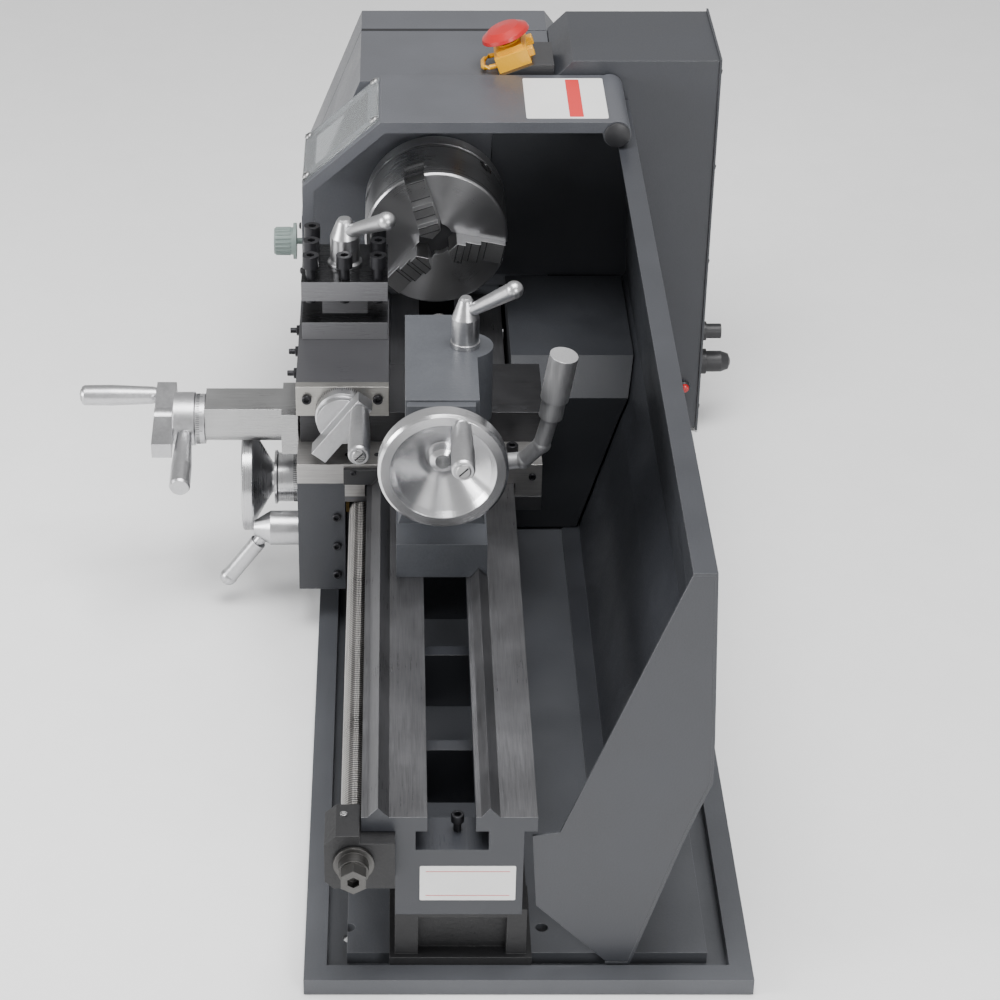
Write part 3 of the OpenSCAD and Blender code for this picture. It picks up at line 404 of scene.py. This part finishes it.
def tube(path, radius, steps=12):
    points, faces = [], []
    for k, p in enumerate(path):
        ahead = Vector(path[min(k + 1, len(path) - 1)]) - Vector(path[max(k - 1, 0)])
        side = ahead.cross(Y if abs(ahead.normalized().dot(Y)) < 0.9 else Z).normalized()
        up = ahead.cross(side).normalized()
        for i in range(steps):
            t = 2 * math.pi * i / steps
            points.append(Vector(p) + (side * math.cos(t) + up * math.sin(t)) * radius)
    for k in range(len(path) - 1):
        for i in range(steps):
            j = (i + 1) % steps
            faces.append((k * steps + i, (k + 1) * steps + i, (k + 1) * steps + j, k * steps + j))
    faces.append(tuple(range(steps)))
    faces.append(tuple(reversed(range((len(path) - 1) * steps, len(path) * steps))))
    return points, faces


def cap_screw(at, along, r=4.0, h=5.0):
    """A socket-head screw that stands on its seat."""
    outside = [(r, 0), (r, h - 0.5), (r - 0.5, h)]
    socket = [(r * 0.58, h), (r * 0.52, h - 0.4), (r * 0.52, h * 0.35)]
    return turned(outside + socket, at, along, 24)


def bar(width, start, end):
    """The outline of a thin bar: as wide as width, from one height to another."""
    return [(-width / 2, start), (width / 2, start), (width / 2, end), (-width / 2, end)]


def slot(at, along, reach, width, rise, depth):
    """A screwdriver slot: a bar that lies in the top of a head and reaches equally far both ways."""
    side = along.orthogonal().normalized()
    outline = bar(2 * reach, -width / 2, width / 2)
    return plate(outline, Vector(at) + along * rise, side, along.cross(side), depth)


def pan_screw(at, along, r=3.5):
    """The head and the slot of a screw with a domed head."""
    dome = [(r, 0), (r, 0.5), (r * 0.92, 1.2), (r * 0.7, 1.8), (r * 0.35, 2.1), (0.2, 2.2)]
    return turned(dome, at, along, 24), slot(at, along, r * 0.55, 0.7, 2.0, 0.35)


def hex_nut(at, along, r=6.0, h=5.0):
    return turned([(r * 0.93, 0), (r, 0.4), (r, h - 0.4), (r * 0.93, h)], at, along, 6)


def piece(name, parts, body, look, bevel=0.25, smooth=True):
    """Joins parts into one object that rides on a body of the frame."""
    points, faces = [], []
    for part_points, part_faces in parts:
        start = len(points)
        points += [place(*p) for p in part_points]
        faces += [tuple(i + start for i in f) for f in part_faces]
    mesh = bpy.data.meshes.new(name)
    mesh.from_pydata(points, [], faces)
    mesh.validate()
    obj = bpy.data.objects.new(name, mesh)
    bpy.context.scene.collection.objects.link(obj)
    mesh.materials.append(look)
    if smooth:
        mesh.shade_smooth()
        mesh.set_sharp_from_angle(angle=SMOOTH_ANGLE)
    if bevel:
        rounding = obj.modifiers.new("edges", "BEVEL")
        rounding.width = bevel * MM
        rounding.segments = 2
        rounding.limit_method = "ANGLE"
        rounding.angle_limit = SMOOTH_ANGLE
    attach(obj, body)
    return obj


def ticks_round(axis_at, along, radius, start, count, long_every, lengths, width, sunk=0.2, proud=0.12):
    """Graduation lines round a dial, each a thin bar that lies on the dial's rim."""
    side = along.orthogonal().normalized()
    across = along.cross(side)
    made = []
    for i in range(count):
        t = 2 * math.pi * i / count
        out = side * math.cos(t) + across * math.sin(t)
        tangent = along.cross(out)
        length = lengths[1] if i % long_every == 0 else lengths[0]
        base = Vector(axis_at) + out * (radius - sunk) + along * start
        made.append(plate(bar(width, 0, length), base, tangent, along, sunk + proud))
    return made


# ---------------------------------------------------------------- leadscrew, dials and grips

THREAD_PITCH = 2.5
THREAD_STEPS = 18


def make_thread():
    """The leadscrew's thread: a low ridge wound round the plain shaft."""
    low, high = span("leadscrew")
    axis_y, axis_z = (low.y + high.y) / 2, (low.z + high.z) / 2
    shaft_r, crest = 9.4, 9.76
    start, end = -66, 650
    turns = (end - start) / THREAD_PITCH
    rows = int(turns * THREAD_STEPS)
    shape = [(-0.8, shaft_r), (-0.4, crest), (0.4, crest), (0.8, shaft_r)]
    points, faces = [], []
    for k in range(rows + 1):
        t = 2 * math.pi * k / THREAD_STEPS
        for dx, r in shape:
            x = start + THREAD_PITCH * k / THREAD_STEPS + dx
            points.append(Vector((x, axis_y + r * math.cos(t), axis_z + r * math.sin(t))))
    for k in range(rows):
        for i in range(3):
            a = k * 4 + i
            faces.append((a, a + 1, a + 5, a + 4))
    piece("leadscrew_thread", [(points, faces)], "leadscrew", thread_steel, bevel=0, smooth=False)


CROSS_AXIS = (168, 0, -85)
TOP_AXIS = (0, -79, -54)
DIAL_TICKS = 80
LONG_TICK_EVERY = 10
TICK_WIDTH = 0.45


def make_dials():
    dials = (
        ("cross", CROSS_AXIS, Y, 21, -201.5, (3, 5.5), "cross_crank"),
        ("top", TOP_AXIS, X, 22, 209.6, (3, 5.5), "compound_crank"),
        ("apron", WHEEL_AXIS, Y, 21, -122, (3, 5), "apron_wheel"),
    )
    for name, axis_at, along, radius, start, lengths, body in dials:
        ticks = ticks_round(axis_at, along, radius, start, DIAL_TICKS, LONG_TICK_EVERY, lengths, TICK_WIDTH)
        piece(name + "_dial_marks", ticks, body, ink_and_shade, 0, False)
    low, high = span("quill")
    r = (high.z - low.z) / 2 + 0.02
    rings = [turned([(r, x), (r, x + 0.35)], (0, 0, 0), X, 96) for x in (197, 200, 203, 206)]
    piece("quill_marks", rings, "quill", ink_and_shade, 0)


GRIP_SCREW_R = 5.6


def grip_screw(at, along, r):
    """The head and the slot of the flat screw that closes a crank's grip."""
    head = turned([(r, 0), (r, 0.8), (r * 0.85, 1.5), (0.3, 1.7)], at, along, 28)
    return head, slot(at, along, r * 0.8, 1.1, 1.35, 0.45)


def make_grip_screws():
    low, high = span("cross_grip")
    spots = [("cross_crank", Vector(((low.x + high.x) / 2, low.y, (low.z + high.z) / 2)), -Y)]
    for node, body in (("compound_grip", "compound_crank"), ("tail_grip", "tail_wheel")):
        low, high = span(node)
        spots.append((body, Vector((high.x, (low.y + high.y) / 2, (low.z + high.z) / 2)), X))
    for body, at, along in spots:
        head, cut = grip_screw(at, along, GRIP_SCREW_R)
        piece(body + "_grip_screw", [head], body, steel, 0)
        # The grip screw's slot is a dark bar: painted shade inside the slot.
        piece(body + "_grip_screw_slot", [cut], body, ink_and_shade, 0)


# ---------------------------------------------------------------- screws and plates


def make_screws():
    apron_end = span("apron")[1].x
    top_low, top_high = span("top_slide")
    saddle_end = span("saddle")[1].x
    apron_screws = [cap_screw((apron_end, -84, z), X, 3.6, 3) for z in (-137, -165, -193)]
    piece("apron_screws", apron_screws, "carriage", black_oxide, 0)
    end_screws = [cap_screw((top_high.x, y, -43), X, 4, 3.5) for y in (-108, -50)]
    piece("end_plate_screws", end_screws, "top_slide", black_oxide, 0)
    gibs = []
    for x in (84, 122, 160):
        at = (x, top_low.y, -46)
        gibs += [hex_nut(at, -Y, 4.6, 3.2), turned([(2.4, 0), (2.4, 8), (2, 8.6)], at, -Y, 16)]
    piece("top_gib_screws", gibs, "top_slide", black_oxide, 0.15)
    piece("saddle_lock_screw", [cap_screw((221, 60, -87), Z, 5, 8)], "carriage", black_oxide, 0)
    # Dark discs on the saddle and the cross slide: painted shade inside their holes.
    holes = [turned([(3.2, 0), (3.2, 0.15)], (224, y, -87.05), Z, 24) for y in (-100, -74, -50)]
    piece("saddle_hole_shade", holes, "carriage", ink_and_shade, 0)
    cross_holes = [turned([(3, 0), (3, 0.15)], (196, y, -59.05), Z, 24) for y in (46, 70)]
    piece("cross_slide_hole_shade", cross_holes, "cross_slide", ink_and_shade, 0)
    retainer = [cap_screw((356, side * 18, z), X, 3.4, 2.6) for side in (-1, 1) for z in (23, -16)]
    piece("tailstock_plate_screws", retainer, "tailstock", black_oxide, 0)
    wiper_screws = [cap_screw((saddle_end, y, -98), X, 3, 2.4) for y in (48, 76)]
    wiper_screws += [cap_screw((saddle_end + 4, y, -92.5), X, 2.4, 1.6) for y in (-70, -42)]
    piece("wiper_screws", wiper_screws, "carriage", black_oxide, 0)
    set_screw = turned([(2.6, 0), (2.6, 1), (1.4, 1.1), (1.4, 0.4)], (666, -71, -111), Z, 20)
    piece("bracket_set_screw", [set_screw], "frame", steel, 0)
    stop_screw = [turned([(2.8, 0), (2.8, 8)], (655, 7, -133), Z, 20), cap_screw((655, 7, -125), Z, 4.6, 6)]
    piece("bed_stop_screw", stop_screw, "frame", black_oxide, 0)
    bed_end = span("bed")[1].x
    piece("bed_plate", [plate(rounded(66, 30, 1), (bed_end, 14, -162), Y, Z, 0.3)], "frame", white, 0)
    border = []
    for v in (-11, 10):
        border.append(plate(bar(58, v, v + 0.5), (bed_end + 0.3, 14, -162), Y, Z, 0.08))
    piece("bed_plate_lines", border, "frame", red_band, 0, False)
    box_back = span("electric_box")[1].y
    plate_screws = [pan_screw((x, box_back, z), Y) for x in (-108, -206) for z in (112, 20, -75, -228)]
    piece("back_plate_screws", [pair[0] for pair in plate_screws], "frame", black_oxide, 0)
    # The screws' slots are dark bars: painted shade inside the slots.
    piece("back_plate_slots", [pair[1] for pair in plate_screws], "frame", ink_and_shade, 0)
    cover = [pan_screw((x, -122, z), -Y, 3.2) for x in (-110, -205) for z in (-40, -86)]
    piece("cover_screws", [pair[0] for pair in cover], "frame", black_oxide, 0)


HOOD_FOOT = Vector((0, -116, 54))
SLOPE = Vector((0, 68, 60)).normalized()
SLOPE_OUT = Vector((0, -60, 68)).normalized()


def on_slope(x, s, n=0.0):
    return HOOD_FOOT + X * x + SLOPE * s + SLOPE_OUT * n


def make_hood_fittings():
    spots = [(-86, 6), (-2, 6), (-86, 84), (-2, 84)]
    screws = [pan_screw(on_slope(x, s, 2), SLOPE_OUT, 4) for x, s in spots]
    piece("window_screws", [pair[0] for pair in screws], "hood", steel, 0)
    # The screws' slots are dark bars: painted shade inside the slots.
    piece("window_screw_slots", [pair[1] for pair in screws], "hood", ink_and_shade, 0)
    label = Vector((-42, 111, 114))
    piece("hood_label", [plate(rounded(88, 70, 2), label, X, Y, 0.3)], "hood", white, 0)
    band = plate(rounded(82, 12, 1), label + Y * 8, X, Y, 0.4)
    piece("hood_label_band", [band], "hood", red_band, 0)
    plug = turned([(6.9, 0), (7.4, 1), (11, 1), (11, 2.5), (9.5, 3.4), (0.3, 3.6)], (10, 153, 103), X, 32)
    piece("hinge_plug", [plug], "hood", black_plastic, 0)


KNOB_X, KNOB_Z = -150, -75


def make_headstock_fittings():
    face = span("headstock_cover")[0].y
    speed_plate = turned([(25, 0), (25, 0.6)], (KNOB_X, face, KNOB_Z), -Y, 48)
    piece("speed_plate", [speed_plate], "frame", white, 0.1)
    marks = []
    for i in range(11):
        t = math.radians(-135 + 27 * i)
        out = Vector((math.sin(t), 0, math.cos(t)))
        across = out.cross(Y)
        marks.append(plate(bar(0.8, 19, 23.5), (KNOB_X, face - 0.6, KNOB_Z), -across, out, 0.15))
    piece("speed_marks", marks, "frame", ink_and_shade, 0, False)
    flutes = []
    for i in range(20):
        t = 2 * math.pi * i / 20
        at = Vector((KNOB_X + 12.3 * math.cos(t), -148, KNOB_Z + 12.3 * math.sin(t)))
        flutes.append(turned([(0.3, 0), (1.1, 0.8), (1.3, 14), (0.3, 15)], at, Y, 8))
    piece("knob_flutes", flutes, "speed_knob", knob_grey, 0)
    pointer = brick((KNOB_X - 0.6, -149.2, KNOB_Z), (KNOB_X + 0.6, -148.8, KNOB_Z + 11))
    piece("knob_pointer", [pointer], "speed_knob", white, 0)
    piece("front_plate", [plate(rounded(66, 26, 2), (-160, face, -46), X, Z, 0.4)], "frame", white, 0)
    seam = brick((-222, -67, 107), (-216.5, 60, 107.15))
    piece("cover_seam", [seam], "frame", ink_and_shade, 0, False)
    lens = turned([(4.2, 0), (4.2, 1), (3.6, 2.4), (2, 3.2), (0.2, 3.4)], (-91.6, 237, -200), X, 24)
    piece("lamp_lens", [lens], "frame", red, 0)
    half_loop = ((13, -14, 5), (13, -22, 6), (11, -26, 6), (7, -28, 6))
    loop = [on_switch(SWITCH_X + x, side, rise) for x, side, rise in half_loop]
    loop += [on_switch(SWITCH_X - x, side, rise) for x, side, rise in reversed(half_loop)]
    piece("switch_loop", [tube(loop, 2.2)], "frame", yellow, 0)
    tabs = [brick((x, 14, 4), (x + 8, 20, 12), switch_turn()) for x in (-142, -116)]
    piece("switch_hinge", tabs, "frame", yellow, 0.8)
    collar = [turned([(10.5, 18), (10.5, 19.5), (8, 20), (7, 20)], on_switch(SWITCH_X, 0, 0), SWITCH_OUT, 40)]
    piece("switch_collar", collar, "frame", yellow, 0)


def switch_turn():
    return Matrix.Translation(SWITCH_AT) @ Matrix.Rotation(SWITCH_TILT, 4, "X")


def on_switch(x, side, rise):
    return SWITCH_AT + X * x + SWITCH_UP * side + SWITCH_OUT * rise


KEY_X = -52.6
FIRST_JAW = 108.6


def make_chuck_details():
    low, high = span("chuck_body")
    r = (high.z - low.z) / 2
    # Dark rings at the chuck body's two grooves: painted shade inside the grooves.
    grooves = [turned([(r + 0.04, x), (r + 0.04, x + 0.7)], (0, 0, 0), X, 96) for x in (-57, -8)]
    piece("chuck_groove_shade", grooves, "spindle", ink_and_shade, 0)
    sockets, squares = [], []
    for turn in (165, 285):
        t = math.radians(turn)
        out = Vector((0, math.cos(t), math.sin(t)))
        sockets.append(turned([(7.4, 0), (7.4, 0.5), (6.6, 0.9)], X * KEY_X + out * (r - 0.5), out, 32))
        # A dark square in each socket: painted shade in the square hole for the chuck key.
        squares.append(plate(bar(8, -4, 4), X * KEY_X + out * (r + 0.42), X, out.cross(X), 0.1))
    piece("key_sockets", sockets, "spindle", jaw_steel, 0)
    piece("key_square_shade", squares, "spindle", ink_and_shade, 0)
    for i in range(3):
        t = math.radians(FIRST_JAW + 120 * i)
        out, side = Vector((0, math.cos(t), math.sin(t))), Vector((0, -math.sin(t), math.cos(t)))
        lines = []
        # Lines at both ends of each jaw step, drawn in painted shade for the grooves at the step corners.
        for start, end, height in ((17, 23, 22), (29, 37, 15), (43, 59, 7)):
            for along in (start, end):
                lines.append(plate(bar(17.2, 0, 0.9), out * along + X * height, side, out, -0.08))
        piece("jaw_%d_serrations" % (i + 1), lines, "jaw_%d" % (i + 1), groove_shade, 0, False)


def make_carriage_details():
    saddle_end = span("saddle")[1].x
    strip = [(-78, -90), (-78, -104), (-56, -104), (-47.5, -95), (-39, -104), (-37.5, -104), (-37.5, -90)]
    wiper = plate(strip, (saddle_end, 0, 0), Y, Z, 4)
    piece("way_wiper", [wiper], "carriage", black_plastic, 0.3)
    edge = [(-56, -104), (-47.5, -95), (-39, -104), (-39.5, -105), (-47.5, -96.6), (-55.5, -105)]
    piece("way_felt", [plate(edge, (saddle_end, 0, 0), Y, Z, 4.6)], "carriage", felt, 0)
    lines = [brick((x, -116.5, -32.02), (x + 0.6, -41.5, -31.9)) for x in (56.5, 60)]
    piece("top_slide_lines", lines, "top_slide", ink_and_shade, 0, False)


def make_floor():
    size = 6
    mesh = bpy.data.meshes.new("floor")
    z = cad_bounds[0].z - 0.0005
    corners = [(-size, -size, z), (size, -size, z), (size, size, z), (-size, size, z)]
    mesh.from_pydata(corners, [], [(0, 1, 2, 3)])
    mesh.materials.append(floor_grey)
    floor = bpy.data.objects.new("floor", mesh)
    bpy.context.scene.collection.objects.link(floor)


make_camera()
make_light()
make_floor()
dress_cad()
make_thread()
make_dials()
make_grip_screws()
make_screws()
make_hood_fittings()
make_headstock_fittings()
make_chuck_details()
make_carriage_details()
